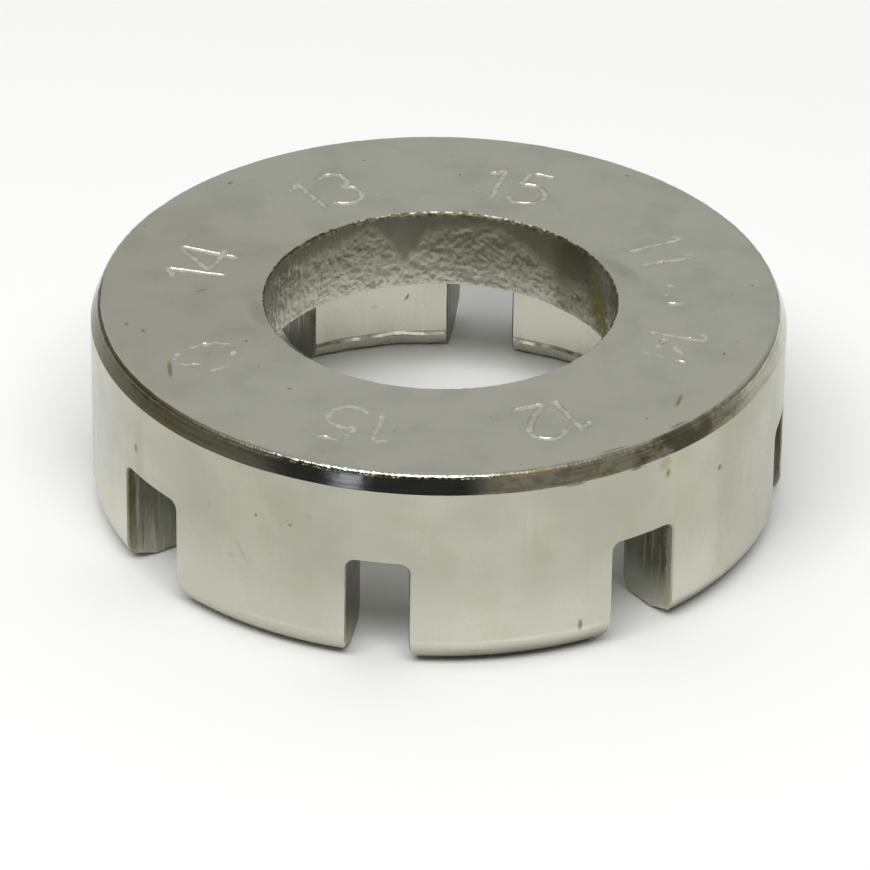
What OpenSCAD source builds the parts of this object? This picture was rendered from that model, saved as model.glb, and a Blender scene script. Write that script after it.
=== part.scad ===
// Ring spoke wrench for bicycle wheels: one piece of plated steel.
// A thick flange with a punched centre hole carries a skirt, and eight open
// slots in the skirt grip the flats of spoke nipples from 10 to 15 gauge.
//
// The origin is on the ring's axis at the rim that it stands on, +Z goes
// through the centre hole towards the stamped face, and +X runs through
// the middle of the 10 gauge slot. All lengths are in millimetres.

/* [Ring] */
// Outer diameter of the ring
ring_d = 45; // [42:0.5:60]
// Height from the skirt's rim to the stamped face
ring_h = 13.9; // [12.5:0.1:20]
// Width of the chamfer round the stamped face
chamfer_w = 0.5; // [0.2:0.05:1.2]
// Height of the chamfer round the stamped face
chamfer_h = 1.2; // [0.4:0.05:1.8]

/* [Flange and centre hole] */
// Thickness of the flange that the numbers are stamped in
flange_t = 5.6; // [3.5:0.1:6]
// Diameter of the punched centre hole
hole_d = 22.8; // [12:0.1:24]
// Width of the break that takes the burr off the hole's upper edge
hole_break_w = 0.15; // [0.05:0.05:0.5]
// Radius of the hole's lower edge, where the punch broke through
hole_exit_r = 0.2; // [0.1:0.05:1.2]

/* [Skirt] */
// Thickness of the skirt, which is the depth of the jaws
skirt_t = 5.1; // [4:0.1:6]
// Radius of the rim's outer edge
rim_outer_r = 1.9; // [0.5:0.1:2.2]
// Radius of the rim's inner edge
rim_inner_r = 1.1; // [0.3:0.1:1.6]
// Radius of the fillet between the skirt and the flange's underside
ceiling_fillet_r = 0.7; // [0.2:0.1:1.5]

/* [Slots] */
// Depth of every slot, from the rim up
slot_depth = 7.5; // [5:0.1:7.8]
// Radius of the fillets in a slot's root
slot_root_r = 0.6; // [0.2:0.05:1.2]
// Radius that eases a slot's mouth on both sides
slot_mouth_r = 0.85; // [0.2:0.05:1.2]
// Width of the slot for 10 gauge nipples
slot_10_w = 5.6; // [3:0.05:6.5]
// Width of the slot for 11 gauge nipples
slot_11_w = 5.1; // [3:0.05:6.5]
// Width of the slot for 12 gauge nipples
slot_12_w = 4.7; // [3:0.05:6.5]
// Width of the slot for 13 gauge nipples
slot_13_w = 4.3; // [3:0.05:6.5]
// Width of the tight slot for 14 gauge nipples
slot_14_tight_w = 4.1; // [3:0.05:6.5]
// Width of the easy slot for 14 gauge nipples
slot_14_easy_w = 4.15; // [3:0.05:6.5]
// Width of the tight slot for 15 gauge nipples
slot_15_tight_w = 4; // [3:0.05:6.5]
// Width of the easy slot for 15 gauge nipples
slot_15_easy_w = 4.4; // [3:0.05:6.5]

/* [Hidden] */
$fn = 96;

// How far every cut runs past the face that it opens
cut_over = 1;

ring_r = ring_d / 2;
hole_r = hole_d / 2;
hollow_r = ring_r - skirt_t;
hollow_h = ring_h - flange_t;

// The slots' widths in their order round the ring, anticlockwise from +X
// when it is seen from above
slot_widths = [
    slot_10_w, slot_15_tight_w, slot_12_w, slot_14_easy_w,
    slot_11_w, slot_15_easy_w, slot_13_w, slot_14_tight_w
];
slot_pitch_deg = 360 / len(slot_widths);

// What rounding a corner takes away. The arc's centre is the origin, and
// the corner points to the upper right.
module corner_waste(r) {
    difference() {
        square(r + cut_over);
        circle(r);
    }
}

// A quarter of an axial section through the hollow, with the fillet under
// the flange left standing in its upper corner
module hollow_section() {
    difference() {
        translate([0, -cut_over])
            square([hollow_r, hollow_h + cut_over]);
        translate([hollow_r - ceiling_fillet_r, hollow_h - ceiling_fillet_r])
            corner_waste(ceiling_fillet_r);
    }
}

// What the chamfer takes off the stamped face's outer edge
module chamfer_waste() {
    polygon([
        [ring_r - chamfer_w, ring_h],
        [ring_r - chamfer_w, ring_h + cut_over],
        [ring_r + cut_over, ring_h + cut_over],
        [ring_r + cut_over, ring_h - chamfer_h],
        [ring_r, ring_h - chamfer_h]
    ]);
}

// What the break takes off the hole's upper edge
module hole_break_waste() {
    polygon([
        [hole_r - cut_over, ring_h + cut_over],
        [hole_r + hole_break_w + cut_over, ring_h + cut_over],
        [hole_r - cut_over, ring_h - hole_break_w - cut_over]
    ]);
}

// The ring's section before the slots are cut: flange above, skirt below
module ring_section() {
    difference() {
        translate([hole_r, 0])
            square([ring_r - hole_r, ring_h]);
        hollow_section();
        chamfer_waste();
        hole_break_waste();
        translate([ring_r - rim_outer_r, rim_outer_r])
            mirror([0, 1])
                corner_waste(rim_outer_r);
        translate([hollow_r + rim_inner_r, rim_inner_r])
            mirror([0, 1])
                mirror([1, 0])
                    corner_waste(rim_inner_r);
        translate([hole_r + hole_exit_r, hollow_h + hole_exit_r])
            mirror([0, 1])
                mirror([1, 0])
                    corner_waste(hole_exit_r);
    }
}

// Half of a slot's front view, to the right of its middle line: a straight
// jaw with a filleted root, whose mouth opens over a rounded edge
module half_slot_view(width) {
    difference() {
        translate([0, -cut_over])
            square([width / 2, slot_depth + cut_over]);
        translate([width / 2 - slot_root_r, slot_depth - slot_root_r])
            corner_waste(slot_root_r);
    }
    translate([width / 2 + slot_mouth_r, slot_mouth_r])
        mirror([0, 1])
            mirror([1, 0])
                corner_waste(slot_mouth_r);
}

// The cutter of one slot. It runs out along +X from the ring's axis, through
// the open hollow and the skirt.
module slot_cutter(width) {
    rotate([90, 0, 90])
        linear_extrude(height = ring_r + cut_over) {
            half_slot_view(width);
            mirror([1, 0])
                half_slot_view(width);
        }
}

// The whole tool: the turned ring with its graded slots
module wrench_body() {
    color("silver")
        difference() {
            rotate_extrude()
                ring_section();
            for (i = [0 : len(slot_widths) - 1])
                rotate([0, 0, i * slot_pitch_deg])
                    slot_cutter(slot_widths[i]);
        }
}

wrench_body();
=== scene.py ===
import math

import bmesh
import bpy
from mathutils import Matrix, Vector, noise


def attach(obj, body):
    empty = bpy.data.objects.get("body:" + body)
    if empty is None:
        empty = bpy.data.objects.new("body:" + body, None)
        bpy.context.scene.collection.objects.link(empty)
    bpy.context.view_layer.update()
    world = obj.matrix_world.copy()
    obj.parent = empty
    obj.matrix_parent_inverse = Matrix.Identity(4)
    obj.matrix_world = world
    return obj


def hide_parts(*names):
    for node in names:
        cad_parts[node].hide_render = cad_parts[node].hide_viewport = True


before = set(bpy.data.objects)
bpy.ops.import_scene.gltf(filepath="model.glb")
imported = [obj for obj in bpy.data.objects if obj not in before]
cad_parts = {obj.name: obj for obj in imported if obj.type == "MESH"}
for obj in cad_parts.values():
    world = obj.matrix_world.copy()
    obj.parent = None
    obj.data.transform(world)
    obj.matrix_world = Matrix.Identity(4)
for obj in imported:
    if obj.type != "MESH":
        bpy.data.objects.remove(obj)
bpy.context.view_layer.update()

# Ring spoke wrench: one piece of plated steel that stands on the rim of its skirt.
# Lengths are in mm and +X runs through the 10 gauge slot, as in the CAD part.

MM = 0.001

# Sizes of the ring, the same as the CAD part's
RING_R = 22.5
RING_H = 13.9
CHAMFER_W = 0.5
CHAMFER_H = 1.2
FLANGE_T = 5.6
HOLE_R = 11.4
HOLE_EXIT_R = 0.2
SKIRT_T = 5.1
RIM_OUTER_R = 1.9
RIM_INNER_R = 1.1
CEILING_FILLET_R = 0.7
HOLLOW_R = RING_R - SKIRT_T
HOLLOW_H = RING_H - FLANGE_T

# The slots of 10, 15, 12, 14, 11, 15, 13 and 14 gauge, anticlockwise from +X as seen from above
SLOT_DEPTH = 7.5
SLOT_ROOT_R = 0.6
SLOT_WIDTHS = (5.6, 4.0, 4.7, 4.15, 5.1, 4.4, 4.3, 4.1)

# A slot's mouth is nearly sharp as far as the middle of the skirt, and eased at the outer rounding
MOUTH_INNER_R = 0.3
MOUTH_OUTER_R = 1.3
MOUTH_LEAST_R = 0.05
MOUTH_TURNS_AT = 20.3

# The plating has flowed over the sharp edges that the cutters left. The hole's burr is barely broken.
FACE_EDGE_R = 0.35
CHAMFER_FOOT_R = 0.12
SLOT_EDGE_R = 0.1
HOLE_BREAK = 0.12

# The ridge that the rolled rim raised inside the skirt
RIDGE_OUT = 0.13
RIDGE_UP = 0.08

# Steps of the turned mesh, and the lengths below which points and slivers are merged
TURN_STEPS = 480
SAME_PLACE = 1e-4
SLIVER = 1e-5


# Camera at the photograph's angle: a long lens that looks down on the ring's front slots

CAMERA_TURN = math.radians(54.27)
CAMERA_HEIGHT = math.radians(30.952)
CAMERA_ROLL = math.radians(0.787)
CAMERA_DISTANCE = 454.6
CAMERA_LENS = 287.7
AIM_SIDE = -0.141
AIM_UP = 3.60


def aim_camera():
    """Sets up the camera and turns it to a point beside the ring's axis."""
    side = Vector((-math.sin(CAMERA_TURN), math.cos(CAMERA_TURN), 0))
    back = Vector((math.cos(CAMERA_TURN) * math.cos(CAMERA_HEIGHT),
                   math.sin(CAMERA_TURN) * math.cos(CAMERA_HEIGHT),
                   math.sin(CAMERA_HEIGHT)))
    up = back.cross(side)
    rolled_side = math.cos(CAMERA_ROLL) * side + math.sin(CAMERA_ROLL) * up
    rolled_up = back.cross(rolled_side)
    aim = AIM_SIDE * side + Vector((0, 0, AIM_UP))
    lens = bpy.data.cameras.new("camera")
    lens.lens = CAMERA_LENS
    lens.sensor_width = 36
    lens.clip_start = 0.01
    lens.clip_end = 50
    camera = bpy.data.objects.new("camera", lens)
    turn = Matrix((rolled_side, rolled_up, back)).transposed().to_4x4()
    camera.matrix_world = Matrix.Translation((aim + back * CAMERA_DISTANCE) * MM) @ turn
    bpy.context.scene.collection.objects.link(camera)
    bpy.context.scene.camera = camera


aim_camera()


# Mesh tools

def mesh_object(name, bm, materials):
    """Turns a bmesh in mm into an object in metres, at the origin."""
    bmesh.ops.scale(bm, vec=(MM,) * 3, verts=bm.verts)
    mesh = bpy.data.meshes.new(name)
    bm.to_mesh(mesh)
    bm.free()
    for material in materials:
        mesh.materials.append(material)
    piece = bpy.data.objects.new(name, mesh)
    bpy.context.scene.collection.objects.link(piece)
    return piece


def loft(bm, loops):
    """Bridges closed loops of points one after another and caps both ends."""
    rings = []
    for loop in loops:
        verts = [bm.verts.new(point) for point in loop]
        rings.append([bm.edges.new(pair) for pair in zip(verts, verts[1:] + verts[:1])])
    for near, far in zip(rings, rings[1:]):
        bmesh.ops.bridge_loops(bm, edges=near + far)
    for end in (rings[0], rings[-1]):
        bmesh.ops.contextual_create(bm, geom=end)


def cut(piece, cutter):
    """Cuts a piece, gives the cut the cutter's finish, and removes the cutter."""
    change = piece.modifiers.new("cut", "BOOLEAN")
    change.operation = "DIFFERENCE"
    change.solver = "MANIFOLD"
    change.object = cutter
    change.material_mode = "TRANSFER"
    bpy.context.view_layer.update()
    seen = piece.evaluated_get(bpy.context.evaluated_depsgraph_get())
    mesh = bpy.data.meshes.new_from_object(seen)
    piece.modifiers.clear()
    old = piece.data
    piece.data = mesh
    bpy.data.meshes.remove(old)
    bpy.data.objects.remove(cutter)


def at(turn, radius, z):
    """The place at an angle round the ring in degrees, a distance from its axis and a height."""
    angle = math.radians(turn)
    return Vector((radius * math.cos(angle), radius * math.sin(angle), z))


def oval_arc(x, y, wide, high, start, end, steps):
    """Points on an oval from the start angle to the end angle, in degrees, with both ends."""
    turns = [math.radians(start + (end - start) * i / steps) for i in range(steps + 1)]
    return [(x + wide * math.cos(t), y + high * math.sin(t)) for t in turns]


def arc(x, y, radius, start, end, steps):
    """The same on a circle."""
    return oval_arc(x, y, radius, radius, start, end, steps)


def line(start, end, steps):
    """Points on a line, without its two ends."""
    return [(start[0] + (end[0] - start[0]) * i / steps, start[1] + (end[1] - start[1]) * i / steps)
            for i in range(1, steps)]


def smooth_between(low, high, value):
    """0 up to the low value, 1 from the high one, and eased between them."""
    t = min(1, max(0, (value - low) / (high - low)))
    return t * t * (3 - 2 * t)


# The ring's section, turned round the axis

def ring_section():
    """The section's outline, from the hole's upper edge over the face, down the skirt, round its rim, up
    the hollow and back up the hole."""
    slope = math.degrees(math.atan2(CHAMFER_H, CHAMFER_W))
    edge_back = FACE_EDGE_R * math.tan(math.radians(slope / 2))
    foot_back = CHAMFER_FOOT_R * math.tan(math.radians((90 - slope) / 2))
    # Each part, after the number of steps in the straight line that leads to it
    parts = [
        (1, [(HOLE_R + HOLE_BREAK, RING_H)]),
        (5, arc(RING_R - CHAMFER_W - edge_back, RING_H - FACE_EDGE_R, FACE_EDGE_R, 90, 90 - slope, 4)),
        (3, arc(RING_R - CHAMFER_FOOT_R, RING_H - CHAMFER_H - foot_back, CHAMFER_FOOT_R, 90 - slope, 0, 2)),
        (6, arc(RING_R - RIM_OUTER_R, RIM_OUTER_R, RIM_OUTER_R, 0, -90, 9)),
        (2, arc(HOLLOW_R + RIM_INNER_R, RIM_INNER_R, RIM_INNER_R, 270, 180, 7)),
        (1, [(HOLLOW_R - RIDGE_OUT, RIM_INNER_R + RIDGE_UP), (HOLLOW_R, RIM_INNER_R + 3 * RIDGE_UP)]),
        (6, arc(HOLLOW_R - CEILING_FILLET_R, HOLLOW_H - CEILING_FILLET_R, CEILING_FILLET_R, 0, 90, 5)),
        (4, arc(HOLE_R + HOLE_EXIT_R, HOLLOW_H + HOLE_EXIT_R, HOLE_EXIT_R, 270, 180, 4)),
        (21, [(HOLE_R, RING_H - HOLE_BREAK)]),
    ]
    outline = []
    for steps, points in parts:
        if outline:
            outline += line(outline[-1], points[0], steps)
        outline += points
    return outline


# The ring's finishes, in the order of its materials, and where one gives way to the next
FACE, CHAMFER, SKIRT, PUNCHED = range(4)
FACE_ABOVE = RING_H - 0.001
CHAMFER_ABOVE = RING_H - CHAMFER_H - 0.02
CHAMFER_BEYOND = RING_R - CHAMFER_W - 0.1
PUNCHED_WITHIN = HOLE_R + HOLE_EXIT_R - 0.05


def finish_of(face):
    """The finish of a face on the turned ring, told by where its middle lies."""
    middle = face.calc_center_median()
    radius = middle.xy.length
    if middle.z > FACE_ABOVE:
        return FACE
    if radius > CHAMFER_BEYOND and middle.z > CHAMFER_ABOVE:
        return CHAMFER
    return PUNCHED if radius < PUNCHED_WITHIN else SKIRT


def turned_ring():
    """The ring before its slots are cut, with a finer mesh in the punched hole."""
    bm = bmesh.new()
    verts = [bm.verts.new((r, 0, z)) for r, z in ring_section()]
    edges = [bm.edges.new(pair) for pair in zip(verts, verts[1:] + verts[:1])]
    bmesh.ops.spin(bm, geom=verts + edges, cent=(0, 0, 0), axis=(0, 0, 1), dvec=(0, 0, 0),
                   angle=math.tau, steps=TURN_STEPS, use_merge=True)
    bmesh.ops.remove_doubles(bm, verts=bm.verts, dist=SAME_PLACE)
    bmesh.ops.recalc_face_normals(bm, faces=bm.faces)
    for face in bm.faces:
        face.material_index = finish_of(face)
    punched = [e for e in bm.edges if any(f.material_index == PUNCHED for f in e.link_faces)]
    bmesh.ops.subdivide_edges(bm, edges=punched, cuts=1, use_grid_fill=True)
    return bm


# Cutters of the slots. Each opens by the radius of the worn edge where it leaves the skirt.

CUT_OVER = 1.0
# The worn edge's arc, in degrees from the slot's wall
EDGE_ARC = (0, 30, 50, 68, 82)
# How far a cutter's ends stand off the skirt, and how far the slot has grown there
STAND_OFF = 0.8
STAND_OFF_GROW = 1.9 * SLOT_EDGE_R


def slot_outline(width, grow, mouth_r):
    """The slot seen from the front, grown outwards by the given length."""
    half = width / 2 + grow
    top = SLOT_DEPTH + grow
    root_r = SLOT_ROOT_R + grow
    mouth = max(mouth_r - grow, MOUTH_LEAST_R)
    right = [(half + mouth, -CUT_OVER)]
    right += arc(half + mouth, mouth, mouth, 270, 180, 6)
    right += line(right[-1], (half, top - root_r), 8)
    right += arc(half - root_r, top - root_r, root_r, 0, 90, 6)
    left = [(-y, z) for y, z in reversed(right)]
    return right + line(right[-1], left[0], 4) + left


def outer_surface(z):
    """The distance from the axis to the skirt's outside, at a height."""
    drop = max(0, RIM_OUTER_R - max(z, 0))
    return RING_R - RIM_OUTER_R + math.sqrt(RIM_OUTER_R ** 2 - drop ** 2)


def inner_surface(z):
    """The distance from the axis to the skirt's inside, at a height."""
    drop = max(0, RIM_INNER_R - max(z, 0))
    return HOLLOW_R + RIM_INNER_R - math.sqrt(RIM_INNER_R ** 2 - drop ** 2)


def slot_stations():
    """The cutter's sections, from the axis outwards. Each has a surface, how far from it the section
    lies, how far the slot has grown there, and the radius of its mouth."""
    turns = [math.radians(degrees) for degrees in EDGE_ARC]
    opening = [(SLOT_EDGE_R * math.cos(t), SLOT_EDGE_R * (1 - math.cos(t))) for t in turns]
    inner = [(inner_surface, -STAND_OFF, STAND_OFF_GROW, MOUTH_INNER_R)]
    inner += [(inner_surface, gap, grow, MOUTH_INNER_R) for gap, grow in reversed(opening)]
    outer = [(outer_surface, -gap, grow, MOUTH_OUTER_R) for gap, grow in opening]
    outer += [(outer_surface, STAND_OFF, STAND_OFF_GROW, MOUTH_OUTER_R)]
    return inner + [(lambda z: MOUTH_TURNS_AT, 0, 0, MOUTH_INNER_R)] + outer


def slot_cutters():
    """The cutters of all eight slots, each turned to its place."""
    bm = bmesh.new()
    for number, width in enumerate(SLOT_WIDTHS):
        turn = Matrix.Rotation(math.tau * number / len(SLOT_WIDTHS), 3, "Z")
        loops = []
        for surface, gap, grow, mouth_r in slot_stations():
            loop = []
            for y, z in slot_outline(width, grow, mouth_r):
                radius = surface(z) + gap
                loop.append(turn @ Vector((math.sqrt(radius ** 2 - y ** 2), y, z)))
            loops.append(loop)
        loft(bm, loops)
    bmesh.ops.recalc_face_normals(bm, faces=bm.faces)
    return bm


# Numbers struck into the face with single punches, tops outwards. A digit is a list of strokes from its
# middle, x to the right and y up, and its top lies this far above its middle.

TOP = 2.05
DIGITS = {
    "0": [oval_arc(0, 0, 1.15, TOP, 100, 460, 28)],
    "1": [[(0, TOP), (0, -TOP)], [(-0.95, TOP - 0.75), (-0.4, TOP - 0.5), (-0.05, TOP - 0.1)]],
    "2": [arc(0, TOP - 1.1, 1.1, 165, -30, 16) + [(0.45, -0.45), (-1.05, -TOP)],
          [(-1.05, -TOP), (1.15, -TOP)]],
    "3": [arc(-0.05, TOP - 1.0, 1.0, 150, -75, 16), oval_arc(-0.05, 1.15 - TOP, 1.2, 1.15, 80, -150, 18)],
    "4": [[(0, TOP), (0, -TOP)], [(-0.05, TOP), (-2.2, -0.95)], [(-2.2, -0.95), (0.7, -0.95)]],
    "5": [[(-0.75, TOP), (1.0, TOP)], [(-0.75, TOP), (-0.95, 0.35)],
          oval_arc(-0.05, 1.3 - TOP, 1.25, 1.3, 135, -145, 20)],
}

# Digit, angle round the ring, distance of its middle from the axis, lean in degrees, and how worn it is
STAMPS = [
    ("1", 266.7, 15.80, 0, 0.0), ("3", 259.4, 15.85, 0, 0.1),
    ("1", 220.2, 15.75, 0, 0.1), ("5", 212.0, 15.85, 0, 0.0),
    ("1", 171.7, 15.90, 0, 0.6), ("1", 163.5, 15.80, 0, 0.5),
    ("1", 127.6, 16.10, 0, 0.4), ("4", 117.6, 16.10, 0, 0.85),
    ("1", 83.7, 16.75, -2, 0.1), ("2", 76.9, 16.85, 0, 0.0),
    ("1", 41.4, 16.90, 2, 0.55), ("5", 33.9, 16.95, 0, 0.5),
    ("1", 358.3, 16.60, 0, 0.9), ("0", 351.3, 16.70, 0, 0.8),
    ("1", 313.7, 16.05, -3, 0.0), ("4", 303.9, 16.10, 0, 0.0),
]

# Plain nicks between the right 14 and the 11: the two ends of each, as angle and distance from the axis
NICKS = [((143, 14.6), (143, 16.0)), ((152, 14.9), (152, 15.4)), ((148, 14.75), (146.5, 14.75))]
NICK_WEAR = 0.3

# A stroke is round in section. Its last sections rise by a share of its depth, and the tip is smaller.
STROKE_R = 0.34
STROKE_DEPTH = 0.12
STROKE_SPACING = 0.16
STROKE_SIDES = 12
TIP_RISE = (0.75, 0.25, 0)
TIP_SHARE = 0.93
HIGHEST_STROKE = 0.03


def even_path(points, spacing):
    """The same path with points at an even spacing."""
    path = [Vector(p) for p in points]
    lengths = [(b - a).length for a, b in zip(path, path[1:])]
    steps = max(2, round(sum(lengths) / spacing))
    result, index, walked = [], 0, 0.0
    for i in range(steps + 1):
        goal = sum(lengths) * i / steps
        while index < len(lengths) - 1 and walked + lengths[index] < goal:
            walked += lengths[index]
            index += 1
        result.append(path[index].lerp(path[index + 1], min(1, (goal - walked) / lengths[index])))
    return result


def stroke_depth(place, wear):
    """How deep a stroke is at a place. A worn stroke rises out of the metal here and there."""
    shake = noise.noise(place * 1.3) * (0.04 + 0.14 * wear) - 0.06 * wear
    return max(-HIGHEST_STROKE, STROKE_DEPTH * (1 - 0.35 * wear) + shake * (0.6 + 0.8 * wear))


def stroke_loops(points, place, wear):
    """Round sections along one stroke, which is drawn flat and brought to its place."""
    path = even_path(points, STROKE_SPACING)
    last = len(path) - 1
    turns = [math.tau * (k + 0.5) / STROKE_SIDES for k in range(STROKE_SIDES)]
    sections = []
    for i, point in enumerate(path):
        ahead = path[min(i + 1, last)] - path[max(i - 1, 0)]
        ahead.normalize()
        across = place.to_3x3() @ Vector((ahead.y, -ahead.x, 0))
        middle = place @ point.to_3d()
        deep = stroke_depth(middle, wear)
        from_tip = min(i, last - i)
        middle.z = RING_H - deep + STROKE_R + deep * TIP_RISE[min(from_tip, len(TIP_RISE) - 1)]
        size = STROKE_R * (1 if from_tip else TIP_SHARE)
        sections.append([middle + across * size * math.cos(t) + Vector((0, 0, size * math.sin(t)))
                         for t in turns])
    return sections


def number_cutters():
    """Three sets of strokes, so that strokes that cross are cut one after the other."""
    sets = [bmesh.new(), bmesh.new(), bmesh.new()]
    for digit, turn, radius, lean, wear in STAMPS:
        place = (Matrix.Rotation(math.radians(turn), 4, "Z") @ Matrix.Translation((radius, 0, 0))
                 @ Matrix.Rotation(math.radians(-90 + lean), 4, "Z"))
        for bm, stroke in zip(sets, DIGITS[digit]):
            loft(bm, stroke_loops(stroke, place, wear))
    for ends in NICKS:
        points = [at(turn, radius, 0).xy for turn, radius in ends]
        loft(sets[0], stroke_loops(points, Matrix.Identity(4), NICK_WEAR))
    for bm in sets:
        bmesh.ops.recalc_face_normals(bm, faces=bm.faces)
    return sets


# Tools for materials

def colour(text):
    """An sRGB hex colour as linear RGBA."""
    parts = [int(text[i:i + 2], 16) / 255 for i in (0, 2, 4)]
    return tuple(c / 12.92 if c <= 0.04045 else ((c + 0.055) / 1.055) ** 2.4 for c in parts) + (1,)


def add(tree, kind, inputs=None, **settings):
    """Adds a node with its settings. An input is a value, an output, or a node, and a node gives the
    output that it has in use."""
    node = tree.nodes.new("ShaderNode" + kind)
    for name, value in settings.items():
        setattr(node, name, value)
    for name, value in (inputs or {}).items():
        if isinstance(value, bpy.types.Node):
            value = next(output for output in value.outputs if output.enabled)
        if isinstance(value, bpy.types.NodeSocket):
            tree.links.new(value, node.inputs[name])
        else:
            node.inputs[name].default_value = value
    return node


def begin(name):
    """A new material, its empty tree, and the place on the piece that its patterns read."""
    material = bpy.data.materials.new(name)
    material.use_nodes = True
    tree = material.node_tree
    tree.nodes.clear()
    return material, tree, add(tree, "TexCoord").outputs["Object"]


def per_mm(size):
    """The scale at which a pattern repeats about every so many mm."""
    return 1 / (size * MM)


# What the nodes of several finishes share. A map runs from 0 at its input 1 to 1 at its input 2, and
# FADING turns that round.

EASED = {"interpolation_type": "SMOOTHSTEP"}
FADING = {3: 1.0, 4: 0.0}


def sized(place, size, detail=3.0):
    """The inputs of a noise whose clouds are about so many mm across."""
    return {"Vector": place, "Scale": per_mm(size), "Detail": detail}


# Places on the ring as masks and values

def turn_at(tree, place):
    """The angle round the ring, in degrees."""
    axes = add(tree, "SeparateXYZ", {"Vector": place})
    turn = add(tree, "Math", {0: axes.outputs["Y"], 1: axes.outputs["X"]}, operation="ARCTAN2")
    degrees = add(tree, "Math", {0: turn, 1: math.degrees(1)}, operation="MULTIPLY")
    return add(tree, "Math", {0: degrees, 1: 360.0}, operation="FLOORED_MODULO")


def polar(tree, place):
    """The angle round the ring in degrees, and the radius and height in mm."""
    flat = add(tree, "VectorMath", {0: place, 1: (1 / MM, 1 / MM, 0)}, operation="MULTIPLY")
    radius = add(tree, "VectorMath", {0: flat}, operation="LENGTH")
    axes = add(tree, "SeparateXYZ", {"Vector": place})
    height = add(tree, "Math", {0: axes.outputs["Z"], 1: 1 / MM}, operation="MULTIPLY")
    return turn_at(tree, place), radius, height


def stretch(tree, turn, part):
    """1 within a part of the ring, easing to 0 over a softer border. The part is the angle of its
    middle, half its width, and the width of the border, in degrees."""
    middle, half, soft = part
    away = add(tree, "Math", {0: turn, 1: middle}, operation="SUBTRACT")
    wrapped = add(tree, "Math", {0: away, 1: 180.0, 2: -180.0}, operation="WRAP")
    size = add(tree, "Math", {0: wrapped}, operation="ABSOLUTE")
    return add(tree, "MapRange", {0: size, 1: half, 2: half + soft, **FADING}, **EASED)


def band(tree, height, middle, half, soft):
    """1 within so many mm of a height, easing to 0 over a softer border."""
    away = add(tree, "Math", {0: height, 1: middle}, operation="SUBTRACT")
    size = add(tree, "Math", {0: away}, operation="ABSOLUTE")
    return add(tree, "MapRange", {0: size, 1: half, 2: half + soft, **FADING}, **EASED)


def overlap(tree, masks):
    """Where all of the masks are."""
    shared = 1.0
    for mask in masks:
        shared = add(tree, "Math", {0: shared, 1: mask}, operation="MULTIPLY")
    return shared


# Patterns

def clouds(tree, place, size, low, high, detail=3.0):
    """Clouds about so many mm across, where noise rises from the low value to the high one."""
    cloud = add(tree, "TexNoise", sized(place, size, detail))
    return add(tree, "MapRange", {0: cloud, 1: low, 2: high}, **EASED)


def shaken(tree, place, value, size, by):
    """A value with noise added, whose clouds are about so many mm across."""
    return add(tree, "Math", {0: add(tree, "TexNoise", sized(place, size, 4.0)), 1: by, 2: value},
               operation="MULTIPLY_ADD")


def lines(tree, spot, sizes):
    """Lines that a tool left: noise drawn out by its sizes in degrees round, mm out and mm up."""
    turn, radius, height = spot
    drawn = add(tree, "VectorMath", {0: add(tree, "CombineXYZ", {"X": turn, "Y": radius, "Z": height}),
                                     1: tuple(1 / size for size in sizes)}, operation="MULTIPLY")
    return add(tree, "TexNoise", {"Vector": drawn, "Scale": 1.0, "Detail": 3.0}).outputs[0]


def pin_pits(tree, place, spacing, size, share):
    """Pin pits: a share of the cells of the given spacing each have one, of the given size in mm."""
    cells = add(tree, "TexVoronoi", {"Vector": place, "Scale": per_mm(spacing)})
    chosen = add(tree, "SeparateColor", {"Color": cells.outputs["Color"]}).outputs[0]
    edge = size / spacing
    near = add(tree, "MapRange", {0: cells.outputs["Distance"], 1: 0.4 * edge, 2: edge, **FADING}, **EASED)
    picked = add(tree, "Math", {0: chosen, 1: share}, operation="LESS_THAN")
    return add(tree, "Math", {0: near, 1: picked}, operation="MULTIPLY")


def stains(tree, place, marks, ragged):
    """The strongest of a list of ragged marks. A mark is its middle, its rotation and its half sizes
    in mm."""
    shake = add(tree, "TexNoise", sized(place, 0.5, 4.0))
    strongest = 0.0
    for middle, rotation, half in marks:
        local = add(tree, "Mapping", {"Vector": place, "Location": middle * MM, "Rotation": rotation,
                                      "Scale": Vector(half) * MM}, vector_type="TEXTURE")
        far = add(tree, "VectorMath", {0: local}, operation="LENGTH")
        loose = add(tree, "Math", {0: shake, 1: 2 * ragged, 2: far}, operation="MULTIPLY_ADD")
        mask = add(tree, "MapRange", {0: loose, 1: 0.3 + ragged, 2: 1.1 + ragged, **FADING}, **EASED)
        strongest = add(tree, "Math", {0: strongest, 1: mask}, operation="MAXIMUM")
    return strongest


def face_marks(marks):
    """Marks on the stamped face, each from one angle and radius to another and of a width."""
    placed = []
    for start_turn, start_radius, end_turn, end_radius, width in marks:
        start, end = at(start_turn, start_radius, RING_H), at(end_turn, end_radius, RING_H)
        along = end - start
        placed.append(((start + end) / 2, (0, 0, math.atan2(along.y, along.x)),
                       (along.length / 2 + width / 2, width / 2, 1)))
    return placed


def wall_marks(radius, marks):
    """Marks on an upright wall, each with its angle, height, width, tallness, and how far it leans."""
    return [(at(turn, radius, z), (math.radians(lean), 0, math.radians(turn)), (1, width / 2, tall / 2))
            for turn, z, width, tall, lean in marks]


# How colours and values are put together into a finish

def layered(tree, tone, layers):
    """Lays colours over a tone, each through its mask and at its strongest share."""
    for mask, share, over in layers:
        cover = add(tree, "Math", {0: mask, 1: share}, operation="MULTIPLY", use_clamp=True)
        # A mix of colours has them at inputs 6 and 7 and at output 2
        tone = add(tree, "Mix", {0: cover, 6: tone, 7: over}, data_type="RGBA").outputs[2]
    return tone


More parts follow.
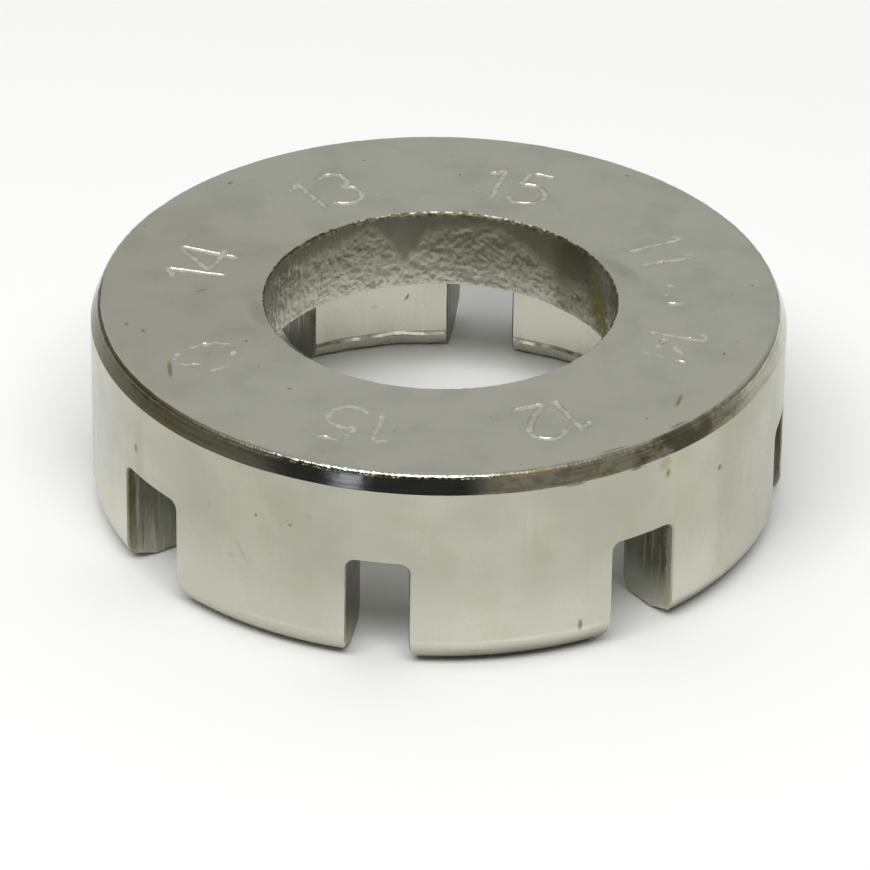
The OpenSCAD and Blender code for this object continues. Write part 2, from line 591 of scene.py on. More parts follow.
def total(tree, parts):
    """Adds up pairs of a value and its weight."""
    value = 0.0
    for part, weight in parts:
        value = add(tree, "Math", {0: part, 1: weight, 2: value}, operation="MULTIPLY_ADD")
    return value


def finish(tree, tone, rough, metal, relief, depth):
    """The plate's shader. Roughness, metal and relief are pairs of a value and its weight, and the bump
    is so many mm deep."""
    bump = add(tree, "Bump", {"Height": total(tree, relief), "Distance": depth * MM, "Strength": 1.0})
    shader = add(tree, "BsdfPrincipled", {"Base Color": tone, "Metallic": total(tree, metal),
                                          "Roughness": total(tree, rough), "Normal": bump})
    add(tree, "OutputMaterial", {"Surface": shader})


# Nickel has a warm grey of its own, and grime in its pores pulls that to olive and brown
# The olive grime and the dull nickel also serve as painted shade, and the bright nickel as painted light
NICKEL = colour("b9baab")
NICKEL_DEEP = colour("aeafa0")
NICKEL_DULL_AND_PAINTED_SHADE = colour("8f8f7b")
BROWN_NICKEL = colour("8a8268")
OLIVE_GRIME_AND_PAINTED_SHADE = colour("45442c")
BROWN_GRIME = colour("5e5424")
YELLOW_GRIME = colour("979250")
OLIVE_RUST = colour("6a6524")
BRIGHT_NICKEL_AND_PAINTED_LIGHT = colour("d6d7c9")

# The stamped face: grimy nicks, brown spots, soft smudges beside the hole, and the part that has gone dull
FACE_GRIME = face_marks([
    (277.5, 20.5, 277.0, 20.5, 0.4), (250, 19.1, 249.7, 19.1, 0.2), (230, 16.7, 229.7, 16.7, 0.22),
    (198, 20.9, 197.6, 20.9, 0.25), (150.7, 20.45, 150.3, 20.45, 0.2), (96, 19.8, 95.7, 19.8, 0.22),
    (338.5, 19.5, 337.9, 19.5, 0.35), (335.5, 20.4, 335.0, 20.4, 0.35), (350, 13.6, 349.3, 13.6, 0.3),
    (323, 15.8, 321, 15.0, 0.22), (16, 15.0, 15.4, 15.0, 0.3), (82.0, 21.7, 87.5, 21.7, 0.3),
    (96.5, 21.7, 100.5, 21.7, 0.45),
])
FACE_BROWN = face_marks([
    (356.5, 20.0, 350.0, 19.0, 0.42), (107, 19.4, 102.5, 20.1, 0.35), (124.5, 19.4, 124.1, 19.4, 0.25),
    (227.7, 11.7, 225.3, 11.7, 0.3),
])
FACE_SMUDGES = face_marks([(342, 11.7, 328, 12.0, 1.5), (170, 12.1, 158, 13.1, 1.7)])
DULL_FACE = (322.0, 15.0, 35.0)


def ground_plate():
    """Nickel over a ground face: the plate softens the grinding to a frosted shine whose tone drifts."""
    material, tree, place = begin("nickel_plate_on_ground_steel")
    turn = turn_at(tree, place)
    drift = add(tree, "TexNoise", sized(place, 3.2, 4.0))
    grain = add(tree, "TexNoise", sized(place, 0.28))
    brushed = add(tree, "Mapping", {"Vector": place, "Rotation": (0, 0, 0.6), "Scale": (1.0, 9.0, 1.0)})
    scratch = clouds(tree, brushed.outputs[0], 2.4, 0.60, 0.70)
    pits = pin_pits(tree, place, 0.85, 0.07, 0.35)
    grime = stains(tree, place, FACE_GRIME, 0.35)
    brown = stains(tree, place, FACE_BROWN, 0.35)
    smudges = stains(tree, place, FACE_SMUDGES, 0.3)
    paler = add(tree, "MapRange", {0: drift, 1: 0.25, 2: 0.6}, **EASED)
    tone = layered(tree, NICKEL_DEEP, [
        (paler, 1.0, NICKEL), (stretch(tree, turn, DULL_FACE), 0.22, NICKEL_DULL_AND_PAINTED_SHADE), (pits, 0.7, OLIVE_GRIME_AND_PAINTED_SHADE),
        (grime, 0.7, OLIVE_GRIME_AND_PAINTED_SHADE), (brown, 0.75, BROWN_GRIME), (smudges, 0.2, OLIVE_GRIME_AND_PAINTED_SHADE)])
    finish(tree, tone, depth=0.012,
           rough=[(drift, 0.03), (scratch, -0.03), (grime, 0.2), (brown, 0.2), (pits, 0.2), (1.0, 0.32)],
           metal=[(grime, -0.6), (brown, -0.4), (1.0, 1.0)],
           relief=[(grain, 0.5), (scratch, 0.25), (pits, -1.0)])
    return material


# The chamfer: where it is stained, from the left of the photograph to the right, and yellow at its edge
OLIVE_CHAMFER = (345.0, 20.0, 12.0)
BROWN_CHAMFER = (14.0, 8.0, 10.0)
STAINED_CHAMFER = (88.0, 22.0, 8.0)
DARK_CHAMFER = (110.0, 3.0, 7.0)
DULL_CHAMFER = (122.0, 6.0, 6.0)
EDGE_YELLOW = wall_marks(22.0, [(71.7, 13.87, 1.5, 0.34, 0), (59.5, 13.87, 0.45, 0.3, 0)])


def turned_plate():
    """Nickel over a turned chamfer: nearly a mirror, with the tool's fine rings, and stained at both
    ends of the part that shows."""
    material, tree, place = begin("nickel_plate_on_turned_steel")
    spot = polar(tree, place)
    turn, _, height = spot
    rings = lines(tree, spot, (40.0, 0.5, 0.05))
    streaks = lines(tree, spot, (9.0, 0.5, 0.16))
    blotch = add(tree, "TexNoise", sized(place, 1.1, 4.0))
    left = stretch(tree, turn, OLIVE_CHAMFER)
    browned = stretch(tree, turn, BROWN_CHAMFER)
    right = stretch(tree, turn, STAINED_CHAMFER)
    wandering = add(tree, "Math", {0: blotch, 1: 24.0, 2: turn}, operation="MULTIPLY_ADD")
    dark = stretch(tree, wandering, DARK_CHAMFER)
    ragged = add(tree, "MapRange", {0: blotch, 1: 0.35, 2: 0.65, 3: 0.8, 4: 1.0}, **EASED)
    stained = overlap(tree, [right, ragged])
    spotted = overlap(tree, [right, clouds(tree, place, 0.55, 0.46, 0.6, 4.0)])
    upper_edge = add(tree, "MapRange", {0: height, 1: 13.55, 2: 13.75}, **EASED)
    nicked = overlap(tree, [upper_edge, add(tree, "TexNoise", sized(place, 0.22, 2.0))])
    yellow = stains(tree, place, EDGE_YELLOW, 0.4)
    deeper = add(tree, "MapRange", {0: blotch, 1: 0.35, 2: 0.7}, **EASED)
    grooves = add(tree, "MapRange", {0: streaks, 1: 0.5, 2: 0.62}, **EASED)
    tone = layered(tree, NICKEL, [
        (deeper, 1.0, NICKEL_DEEP), (left, 0.9, OLIVE_GRIME_AND_PAINTED_SHADE), (browned, 0.6, BROWN_NICKEL),
        (browned, 0.35, OLIVE_GRIME_AND_PAINTED_SHADE), (stained, 0.85, BROWN_NICKEL), (grooves, 0.3, OLIVE_GRIME_AND_PAINTED_SHADE),
        (dark, 0.8, OLIVE_GRIME_AND_PAINTED_SHADE), (spotted, 0.35, OLIVE_GRIME_AND_PAINTED_SHADE), (yellow, 0.5, YELLOW_GRIME),
        (stretch(tree, turn, DULL_CHAMFER), 0.35, NICKEL_DULL_AND_PAINTED_SHADE)])
    finish(tree, tone, depth=0.007,
           rough=[(blotch, 0.06), (stained, 0.3), (left, 0.08), (browned, 0.24), (streaks, 0.06),
                  (yellow, 0.1), (1.0, 0.05)],
           metal=[(stained, -0.3), (yellow, -0.4), (1.0, 1.0)],
           relief=[(rings, 0.5), (blotch, 0.4), (streaks, 0.7), (nicked, 6.0)])
    return material


# The skirt: grimy pores, dull smudges, yellow runs and smears, and a painted highlight and painted shade
# on its foot. The marks low on the skirt have their middles a little under its surface.
UNDER_SURFACE = RING_R - 0.1
SKIRT_GRIME = wall_marks(RING_R, [
    (356.1, 9.46, 0.5, 0.8, 0), (107, 9.69, 0.55, 0.5, 0), (30.4, 9.24, 0.32, 0.32, 0),
    (24.2, 9.26, 0.28, 0.28, 0), (77.0, 12.6, 1.8, 0.22, 0), (88.0, 12.6, 1.2, 0.3, 0),
    (94.4, 11.38, 0.3, 0.5, 0),
])
SKIRT_GRIME += wall_marks(UNDER_SURFACE, [(78.3, 2.13, 0.4, 1.1, 0)])
SKIRT_GRIME += wall_marks(HOLLOW_R, [(241.4, 4.07, 0.2, 0.6, 30)])
SKIRT_SMUDGES = wall_marks(RING_R, [
    (21.3, 6.3, 0.4, 2.0, 28), (19.3, 5.7, 0.7, 0.5, 0), (33.5, 10.2, 0.5, 0.5, 0),
    (14.8, 8.6, 0.4, 0.9, 0),
])
SKIRT_SMUDGES += wall_marks(HOLLOW_R, [(248.8, 3.5, 0.6, 0.3, 0)])
SKIRT_YELLOW = wall_marks(UNDER_SURFACE, [(95.4, 4.8, 0.5, 4.5, 0), (354.0, 5.2, 0.3, 2.0, 0)])
SKIRT_YELLOW += wall_marks(RING_R, [(357.0, 9.0, 1.4, 8.0, 0)])
SKIRT_SMEARS = wall_marks(RING_R, [(93.7, 12.2, 1.3, 1.0, 0), (94.4, 11.4, 0.7, 1.0, 0)])
PAINTED_HIGHLIGHT_FOOT = (48.0, 32.0, 8.0)
PAINTED_SHADE_FOOT = (92.0, 30.0, 18.0)
DULL_SKIRT = ((24.0, 10.0, 10.0), (118.0, 8.0, 8.0))


def satin_plate():
    """Nickel over cast steel that was tumbled: a satin skin with a faint orange peel and a few dark
    pores."""
    material, tree, place = begin("nickel_plate_on_tumbled_steel")
    spot = polar(tree, place)
    turn, radius, height = spot
    drift = add(tree, "TexNoise", sized(place, 5.0, 4.0))
    peel = add(tree, "TexNoise", sized(place, 0.45))
    runs = lines(tree, spot, (1.6, 4.0, 9.0))
    pores = pin_pits(tree, place, 1.3, 0.08, 0.3)
    grime = stains(tree, place, SKIRT_GRIME, 0.35)
    smudges = stains(tree, place, SKIRT_SMUDGES, 0.5)
    yellow = stains(tree, place, SKIRT_YELLOW, 0.4)
    smears = stains(tree, place, SKIRT_SMEARS, 0.8)
    tinge = clouds(tree, place, 4.0, 0.48, 0.72, 4.0)
    deeper = add(tree, "MapRange", {0: drift, 1: 0.3, 2: 0.7}, **EASED)
    run_marks = add(tree, "MapRange", {0: runs, 1: 0.5, 2: 0.75}, **EASED)
    painted_light_low_down = add(tree, "MapRange", {0: height, 1: 2.0, 2: 8.0, **FADING}, **EASED)
    inside = add(tree, "Math", {0: radius, 1: HOLLOW_R + 0.3}, operation="LESS_THAN")
    ridge = overlap(tree, [inside, band(tree, height, 1.26, 0.12, 0.1)])
    inner_rim = add(tree, "MapRange", {0: radius, 1: 18.4, 2: 18.9, **FADING}, **EASED)
    below_ridge = add(tree, "MapRange", {0: height, 1: 1.0, 2: 1.2, **FADING}, **EASED)
    outer_rim = add(tree, "MapRange", {0: radius, 1: 19.4, 2: 20.0})
    rounding = add(tree, "MapRange", {0: height, 1: 0.6, 2: 1.75, **FADING}, **EASED)
    foot = overlap(tree, [rounding, outer_rim])
    painted_shade_foot = overlap(tree, [foot, stretch(tree, turn, PAINTED_SHADE_FOOT)])
    under_ridge = overlap(tree, [inner_rim, below_ridge])
    highlight_breaks = add(tree, "MapRange", {0: drift, 1: 0.35, 2: 0.6})
    shine = overlap(tree, [band(tree, height, 1.85, 0.06, 0.14), stretch(tree, turn, PAINTED_HIGHLIGHT_FOOT),
                           highlight_breaks])
    # Painted light and shade: the skirt is paler low down and on its inside, the rounding of its foot is
    # darker, more so near the 12 slot, a narrow band above that rounding carries a painted highlight, and
    # the inner rim is darker on its ridge and under it
    tone = layered(tree, NICKEL, [
        (deeper, 1.0, NICKEL_DEEP), (run_marks, 0.35, NICKEL_DEEP), (painted_light_low_down, 0.6, BRIGHT_NICKEL_AND_PAINTED_LIGHT),
        (inside, 0.7, BRIGHT_NICKEL_AND_PAINTED_LIGHT), (tinge, 0.14, YELLOW_GRIME), (foot, 0.25, OLIVE_GRIME_AND_PAINTED_SHADE),
        (painted_shade_foot, 0.5, OLIVE_GRIME_AND_PAINTED_SHADE), (shine, 0.9, BRIGHT_NICKEL_AND_PAINTED_LIGHT), (under_ridge, 0.12, OLIVE_GRIME_AND_PAINTED_SHADE),
        (ridge, 0.5, OLIVE_GRIME_AND_PAINTED_SHADE)])
    tone = layered(tree, tone, [(stretch(tree, turn, part), 0.2, NICKEL_DULL_AND_PAINTED_SHADE) for part in DULL_SKIRT])
    tone = layered(tree, tone, [
        (grime, 0.6, OLIVE_GRIME_AND_PAINTED_SHADE), (pores, 0.4, OLIVE_GRIME_AND_PAINTED_SHADE), (smudges, 0.3, NICKEL_DULL_AND_PAINTED_SHADE),
        (yellow, 0.2, YELLOW_GRIME), (smears, 0.5, YELLOW_GRIME)])
    finish(tree, tone, depth=0.010,
           rough=[(drift, 0.12), (runs, 0.06), (grime, 0.2), (1.0, 0.19)],
           metal=[(grime, -0.5), (yellow, -0.4), (1.0, 1.0)],
           relief=[(peel, 0.6), (runs, 0.2), (pores, -1.0)])
    return material


# The punched wall: rust at its right end and a speck at its upper edge, and where it is dull or olive
HOLE_EDGE_R = HOLE_R + 0.05
WALL_RUST = wall_marks(HOLE_R, [(169.5, 10.8, 3.6, 7.0, 0), (166.5, 9.5, 2.6, 3.6, 0)])
WALL_RUST += wall_marks(HOLE_EDGE_R, [(226.5, 13.8, 0.45, 0.6, 0)])
DULL_WALL = (190.0, 32.0, 26.0)
OLIVE_WALL = (183.0, 6.0, 8.0)
# Over these depths in mm the smooth land gives way to broken metal
LAND_ENDS, BREAK_BEGINS = 0.14, 0.30


def punched_plate():
    """Nickel over a punched wall: bright on the smooth land, pebbled and grimy where the metal broke
    away. The pebbles and creases are drawn coarser than the real grain, so that they show."""
    material, tree, place = begin("nickel_plate_on_punched_steel")
    spot = polar(tree, place)
    turn, _, height = spot
    depth = add(tree, "Attribute", attribute_name="pit_depth").outputs["Fac"]
    ragged_depth = shaken(tree, place, depth, 0.6, 0.3)
    broken = add(tree, "MapRange", {0: ragged_depth, 1: LAND_ENDS, 2: BREAK_BEGINS}, **EASED)
    land = add(tree, "MapRange", {0: ragged_depth, 1: LAND_ENDS, 2: BREAK_BEGINS, **FADING}, **EASED)
    pebbles = add(tree, "TexVoronoi", {"Vector": place, "Scale": per_mm(0.2)},
                  feature="SMOOTH_F1").outputs["Distance"]
    creases = add(tree, "TexNoise", {**sized(place, 0.17, 4.0), "Distortion": 0.5})
    blotch = add(tree, "TexNoise", sized(place, 1.4, 4.0))
    runs = lines(tree, spot, (0.7, 1.0, 6.0))
    gaps = overlap(tree, [broken, add(tree, "MapRange", {0: pebbles, 1: 0.45, 2: 0.75}, **EASED)])
    rust = stains(tree, place, WALL_RUST, 0.8)
    deeper = add(tree, "MapRange", {0: blotch, 1: 0.3, 2: 0.7}, **EASED)
    painted_light_low_down = add(tree, "MapRange", {0: height, 1: 8.6, 2: 10.8, **FADING}, **EASED)
    upper = add(tree, "MapRange", {0: shaken(tree, place, height, 0.9, 4.0), 1: 11.8, 2: 14.6}, **EASED)
    burr = add(tree, "MapRange", {0: height, 1: 13.75, 2: 13.8}, **EASED)
    crest = add(tree, "MapRange", {0: height, 1: 13.81, 2: 13.86}, **EASED)
    glint = overlap(tree, [crest, clouds(tree, place, 0.45, 0.46, 0.56)])
    # Painted light and shade: the wall is paler low down and darker towards its upper edge, and the burr at
    # that edge is darkened so that its reflection stays dim, but for patches that keep the nickel's glint
    tone = layered(tree, NICKEL, [
        (deeper, 1.0, NICKEL_DEEP), (stretch(tree, turn, DULL_WALL), 0.7, NICKEL_DULL_AND_PAINTED_SHADE),
        (upper, 0.6, NICKEL_DULL_AND_PAINTED_SHADE), (painted_light_low_down, 0.6, BRIGHT_NICKEL_AND_PAINTED_LIGHT), (land, 0.5, NICKEL_DULL_AND_PAINTED_SHADE),
        (stretch(tree, turn, OLIVE_WALL), 0.45, OLIVE_GRIME_AND_PAINTED_SHADE), (gaps, 0.3, OLIVE_GRIME_AND_PAINTED_SHADE),
        (burr, 0.85, OLIVE_GRIME_AND_PAINTED_SHADE), (glint, 0.85, NICKEL), (rust, 0.95, OLIVE_RUST)])
    # The land keeps a little of the broken wall's relief
    coarse = add(tree, "MapRange", {0: broken, 3: 0.12, 4: 1.0})
    grain = overlap(tree, [pebbles, coarse])
    creased = overlap(tree, [creases, coarse])
    finish(tree, tone, depth=0.028,
           rough=[(broken, 0.04), (runs, 0.05), (blotch, 0.06), (rust, 0.2), (burr, 0.2), (1.0, 0.20)],
           metal=[(rust, -0.3), (gaps, -0.3), (1.0, 1.0)],
           relief=[(grain, -0.5), (creased, 0.6), (runs, 0.05)])
    return material


# The slots: half the angle that one takes round the ring and the softness of its border, how much grime and
# painted shade each has by the angle of its middle, and the parts that have a finish of their own
SLOT_REACH = (12.0, 6.0)
SLOT_GRIME_AND_PAINTED_SHADE = ((45.0, 0.5), (90.0, 0.3), (135.0, 0.3), (180.0, 0.4), (225.0, 0.75), (270.0, 0.45),
              (315.0, 0.3))
SLOT_10 = (0.0, *SLOT_REACH)
BACK_SLOT_15 = (225.0, *SLOT_REACH)
SLOT_12 = (90.0, 14.0, 6.0)


def slot_marks(marks):
    """Upright lines on the wall of the 10 slot, each with its distance out, its height and its half
    sizes."""
    return [(Vector((x, -SLOT_WIDTHS[0] / 2, z)), (0, 0, 0), (wide, 0.6, tall))
            for x, z, wide, tall in marks]


# Light scores and dark lines that nipples have left in the 10 slot, and one score in the 12 slot
SCORES = slot_marks([(21.55, 4.4, 0.16, 2.8), (18.9, 5.2, 0.12, 1.0), (18.05, 3.6, 0.1, 2.2)])
SCORES += [(Vector((-SLOT_WIDTHS[2] / 2, 20.3, 4.0)), (0, 0, 0), (0.6, 0.1, 1.6))]
DARK_LINES = slot_marks([(20.1, 2.4, 0.1, 1.3), (21.15, 1.8, 0.1, 1.6), (18.3, 3.0, 0.08, 2.6)])


def milled_plate():
    """Nickel over a milled slot: straight lines up the wall from the cutter, dull where the plate is
    thin."""
    material, tree, place = begin("nickel_plate_on_milled_steel")
    spot = polar(tree, place)
    turn, radius, height = spot
    cuts = lines(tree, spot, (300.0, 0.16, 6.0))
    streaks = lines(tree, spot, (300.0, 0.6, 3.0))
    rubs = lines(tree, spot, (300.0, 0.35, 4.0))
    blotch = add(tree, "TexNoise", sized(place, 1.2, 4.0))
    in_10 = stretch(tree, turn, SLOT_10)
    in_12 = stretch(tree, turn, SLOT_12)
    in_back_15 = stretch(tree, turn, BACK_SLOT_15)
    light = add(tree, "MapRange", {0: streaks, 1: 0.35, 2: 0.65}, **EASED)
    rubbed = add(tree, "MapRange", {0: rubs, 1: 0.56, 2: 0.66}, **EASED)
    patches = add(tree, "MapRange", {0: blotch, 1: 0.5, 2: 0.75}, **EASED)
    mouth = add(tree, "MapRange", {0: height, 1: 1.2, 2: 4.2, **FADING}, **EASED)
    frayed = shaken(tree, place, radius, 0.4, 1.2)
    outer_edge = add(tree, "MapRange", {0: frayed, 1: 22.2, 2: 22.6}, **EASED)
    painted_light_12_mouth = overlap(tree, [mouth, in_12])
    worn_edge = overlap(tree, [outer_edge, in_12])
    scores = stains(tree, place, SCORES, 0.3)
    dark_lines = stains(tree, place, DARK_LINES, 0.3)
    tone = layered(tree, NICKEL_DULL_AND_PAINTED_SHADE, [(light, 0.6, NICKEL), (in_10, 0.5, NICKEL)])
    # Grime and painted shade, in a share that differs from slot to slot
    tone = layered(tree, tone, [(stretch(tree, turn, (middle, *SLOT_REACH)), share, OLIVE_GRIME_AND_PAINTED_SHADE)
                                for middle, share in SLOT_GRIME_AND_PAINTED_SHADE])
    # Painted light: each slot's wall is paler low down at its mouth, and much paler there in the 12 slot
    tone = layered(tree, tone, [
        (patches, 0.6, OLIVE_GRIME_AND_PAINTED_SHADE), (mouth, 0.25, NICKEL), (painted_light_12_mouth, 0.7, BRIGHT_NICKEL_AND_PAINTED_LIGHT),
        (rubbed, 0.6, BRIGHT_NICKEL_AND_PAINTED_LIGHT), (worn_edge, 0.85, BRIGHT_NICKEL_AND_PAINTED_LIGHT), (worn_edge, 0.25, YELLOW_GRIME),
        (overlap(tree, [outer_edge, in_10]), 0.5, OLIVE_RUST), (scores, 0.55, BRIGHT_NICKEL_AND_PAINTED_LIGHT),
        (dark_lines, 0.4, OLIVE_GRIME_AND_PAINTED_SHADE)])
    finish(tree, tone, depth=0.010,
           rough=[(streaks, 0.14), (blotch, 0.1), (in_10, 0.16), (painted_light_12_mouth, 0.2), (worn_edge, 0.3),
                  (scores, 0.2), (rubbed, 0.12), (1.0, 0.22)],
           metal=[(patches, -0.3), (in_back_15, -0.6), (1.0, 1.0)],
           relief=[(cuts, 1.0), (blotch, 0.3)])
    return material


def struck_plate():
    """Nickel in the struck numbers: the punch burnished the metal, so the grooves catch broken bright
    glints."""
    material, tree, place = begin("nickel_plate_on_struck_steel")
    ripple = add(tree, "TexNoise", sized(place, 0.5, 2.0))
    glint = add(tree, "MapRange", {0: ripple, 1: 0.4, 2: 0.6}, **EASED)
    dull = add(tree, "MapRange", {0: ripple, 1: 0.42, 2: 0.52, **FADING}, **EASED)
    pores = pin_pits(tree, place, 0.5, 0.08, 0.3)
    tone = layered(tree, NICKEL, [(glint, 0.8, BRIGHT_NICKEL_AND_PAINTED_LIGHT), (pores, 0.6, OLIVE_GRIME_AND_PAINTED_SHADE)])
    finish(tree, tone, depth=0.008,
           rough=[(ripple, 0.3), (dull, 0.2), (1.0, 0.06)],
           metal=[(pores, -0.4), (1.0, 1.0)],
           relief=[(ripple, 1.0)])
    return material


# Wear that moves the ring's own surface

# Depth of the smooth land below the hole's upper edge, at angles round the hole. The punch dragged a
# valley of it down the wall by the 13 slot and widened it opposite the 10 slot.
LAND = ((0, 0.6), (60, 1.2), (120, 0.6), (158, 1.2), (175, 2.3), (188, 2.7), (197, 2.2), (207, 1.1),
        (214, 0.6), (223, 0.4), (233, 0.7), (239, 1.2), (243, 2.6), (247, 3.2), (251, 1.8), (256, 0.6),
        (262, 0.5), (270, 0.8), (282, 1.0), (300, 0.6), (360, 0.6))

# The punch ran off centre by this much
PUNCH_SHIFT = Vector((-0.08, 0.06, 0))

# The broken wall stands back by a step and a taper, with pebbles and lumps on it, and scrapes on all of it
BREAK_STEP = 0.02
BREAK_TAPER = 0.14
PEBBLE_SIZE, PEBBLE_DEPTH = 0.32, 0.06
LUMP_SIZE, LUMP_DEPTH = 0.8, 0.03
SCRAPE_DEPTH = 0.010

# How far the burr, the face's edge and the inner rim stray, and how far the ridge wanders up and down
BURR_STRAY = 0.06
EDGE_STRAY = 0.035
RIM_STRAY = 0.08
RIDGE_WANDER = 0.16

# Where these begin and end
HOLE_WITHIN = HOLE_R + HOLE_EXIT_R + 0.01
BURR_ABOVE = RING_H - HOLE_BREAK - 0.01
RIM_TOP = 2.0
EDGE_ABOVE = RING_H - CHAMFER_H * 0.3
EDGE_BEYOND = RING_R - CHAMFER_W - 0.25

# Edges that bend by more than this shade sharp
SHARP_FROM = math.radians(38)


def land_depth(turn):
    """How far down the smooth land reaches at an angle, with its ragged lower edge."""
    for (low, start), (high, end) in zip(LAND, LAND[1:]):
        if turn <= high:
            break
    rag = noise.noise(at(turn, 9, 3.1))
    fine_rag = noise.noise(at(turn, 40, 7.7))
    return start + (end - start) * smooth_between(low, high, turn) + 0.4 * rag + 0.3 * fine_rag


def punch_surface(turn, z):
    """How far the punched wall stands back at a place."""
    below = (RING_H - HOLE_BREAK - land_depth(turn)) - z
    scrape = SCRAPE_DEPTH * noise.noise(at(turn, 60, z * 0.25))
    place = at(turn, HOLE_R, z)
    pebble = PEBBLE_DEPTH * noise.voronoi(place / PEBBLE_SIZE + Vector((5, 9, 2)))[0][0]
    lump = LUMP_DEPTH * noise.fractal(place / LUMP_SIZE, 0.9, 2.0, 4)
    taper = BREAK_TAPER * smooth_between(0, 4.5, below)
    return scrape + smooth_between(-0.1, 1.1, below) * (BREAK_STEP + pebble + lump + taper)


def weather(piece, struck):
    """Breaks the punched wall, ripples the inner rim, wears the face's edge, and sets what shades sharp."""
    bm = bmesh.new()
    bm.from_mesh(piece.data)
    bmesh.ops.scale(bm, vec=(1 / MM,) * 3, verts=bm.verts)
    bmesh.ops.dissolve_degenerate(bm, dist=SLIVER, edges=bm.edges)
    pit_depth = bm.verts.layers.float.new("pit_depth")
    for vert in bm.verts:
        x, y, z = vert.co
        radius = math.hypot(x, y)
        in_hole = radius < HOLE_WITHIN
        move = 0.0
        if in_hole:
            turn = math.degrees(math.atan2(y, x)) % 360
            move = punch_surface(turn, z) * smooth_between(0, 0.3, RING_H - 0.02 - z)
            vert[pit_depth] = move
            if z > BURR_ABOVE:
                move += BURR_STRAY * noise.noise(vert.co * 5.0)
        elif z < RIM_TOP and radius < HOLLOW_R + RIM_INNER_R:
            share = smooth_between(0.0, 0.5, z) * smooth_between(0.0, 0.6, RIM_TOP - z)
            ripple = noise.noise(Vector((x, y, 0)) * 0.7) + 0.5 * noise.noise(Vector((x, y, 5)) * 2.0)
            move = RIM_STRAY * ripple * share
            vert.co.z += RIDGE_WANDER * noise.noise(Vector((x, y, 9)) * 0.45) * share
        elif z > EDGE_ABOVE and radius > EDGE_BEYOND:
            move = EDGE_STRAY * noise.noise(vert.co * 2.2)
        vert.co.x += x / radius * move
        vert.co.y += y / radius * move
        if in_hole:
            vert.co += PUNCH_SHIFT
    struck_slot = [material.name for material in piece.data.materials].index(struck.name)
    for edge in bm.edges:
        faces = edge.link_faces
        border = sum(face.material_index == struck_slot for face in faces) == 1
        edge.smooth = len(faces) == 2 and not border and edge.calc_face_angle(0) < SHARP_FROM
    for face in bm.faces:
        face.smooth = True
    bmesh.ops.scale(bm, vec=(MM,) * 3, verts=bm.verts)
    bm.to_mesh(piece.data)
    bm.free()


# The ring, cut and weathered

ring = mesh_object("wrench", turned_ring(),
                   (ground_plate(), turned_plate(), satin_plate(), punched_plate()))
cut(ring, mesh_object("slots", slot_cutters(), (milled_plate(),)))
burnished = struck_plate()
for strokes in number_cutters():
    cut(ring, mesh_object("strokes", strokes, (burnished,)))
weather(ring, burnished)

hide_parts("wrench_body")
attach(ring, "root")


# Floor and light. The softbox hangs in front of the ring and above it. Round it the studio is dark low
# down in front, and grows paler behind and overhead, so that the chamfer stays dark and the face pale.

FRONT_TURN = math.radians(54)
FLOOR_REACH = 350
LIGHT_BEHIND = 0.55
LIGHT_BESIDE = 0.12
FRONT_DARKER = 0.08
LIGHT_OVERHEAD = 0.72


def panel(name, turn, height, wide, high, watts, distance=0.7, tint=(1, 1, 1)):
    """A soft light in a direction from the ring, in degrees, turned towards it. Its sizes are in metres."""
    lamp = bpy.data.lights.new(name, "AREA")
    lamp.shape = "RECTANGLE"
    lamp.size = wide
    lamp.size_y = high
    lamp.energy = watts
    lamp.color = tint
    light = bpy.data.objects.new(name, lamp)
    turn, height = math.radians(turn), math.radians(height)
    out = Vector((math.cos(turn) * math.cos(height), math.sin(turn) * math.cos(height), math.sin(height)))
    facing = out.to_track_quat("Z", "Y").to_matrix().to_4x4()
    light.matrix_world = Matrix.Translation(out * distance) @ facing
    bpy.context.scene.collection.objects.link(light)


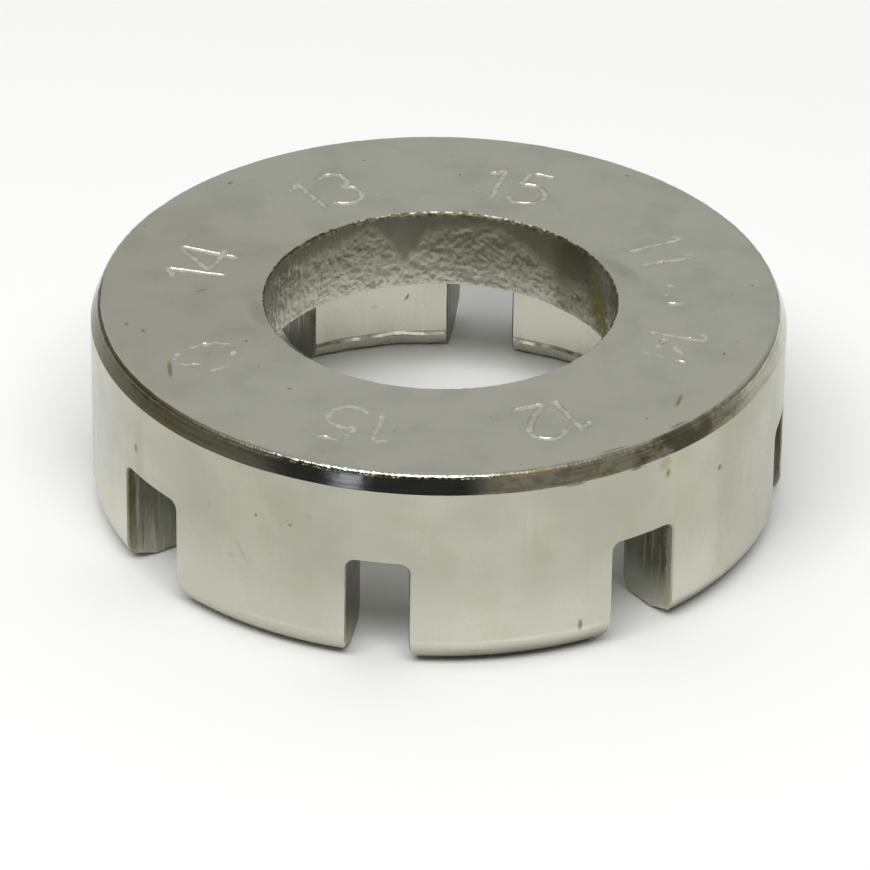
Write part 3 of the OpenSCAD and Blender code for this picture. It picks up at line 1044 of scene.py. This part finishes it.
def studio_walls():
    """The studio round the ring: how light it is follows from how far a direction is in front and up."""
    world = bpy.data.worlds.new("studio")
    world.use_nodes = True
    tree = world.node_tree
    tree.nodes.clear()
    way = add(tree, "TexCoord").outputs["Generated"]
    front = add(tree, "VectorMath", {0: way, 1: (math.cos(FRONT_TURN), math.sin(FRONT_TURN), 0)},
                operation="DOT_PRODUCT")
    up = add(tree, "SeparateXYZ", {"Vector": way}).outputs["Z"]
    back_to_side = add(tree, "MapRange",
                       {0: front, 1: -1.0, 2: -0.25, 3: LIGHT_BEHIND, 4: LIGHT_BESIDE}, **EASED)
    darker = add(tree, "MapRange", {0: front, 1: 0.1, 2: 0.8, 3: 0.0, 4: FRONT_DARKER}, **EASED)
    horizon = add(tree, "Math", {0: back_to_side, 1: darker}, operation="SUBTRACT")
    start = add(tree, "MapRange", {0: front, 1: -1.0, 2: 1.0, 3: -0.2, 4: 0.4}, **EASED)
    above = add(tree, "Math", {0: up, 1: start}, operation="SUBTRACT")
    rise = add(tree, "MapRange", {0: above, 1: 0.0, 2: 1.0}, **EASED)
    light = add(tree, "Mix", {"Factor": rise, "A": horizon, "B": LIGHT_OVERHEAD})
    shader = add(tree, "Background", {"Color": (1, 1, 1, 1), "Strength": light})
    add(tree, "OutputWorld", {"Surface": shader})
    bpy.context.scene.world = world


def build_stage():
    """A floor of matt white paper, the studio, the softbox, and a small blue panel that the chamfer
    mirrors."""
    bm = bmesh.new()
    bmesh.ops.create_grid(bm, x_segments=1, y_segments=1, size=FLOOR_REACH)
    material, tree, _ = begin("matt_white_paper")
    shader = add(tree, "BsdfPrincipled", {"Base Color": colour("f8f8f7"), "Roughness": 0.9})
    add(tree, "OutputMaterial", {"Surface": shader})
    floor = mesh_object("floor", bm, (material,))
    studio_walls()
    panel("softbox", turn=44, height=60, wide=0.75, high=0.26, watts=3.92)
    panel("pale_blue_panel", turn=27, height=13, wide=0.1, high=0.14, watts=0.035, tint=(0.72, 0.76, 1.0))


build_stage()

bpy.context.scene.view_settings.view_transform = "Standard"

bpy.context.view_layer.update()
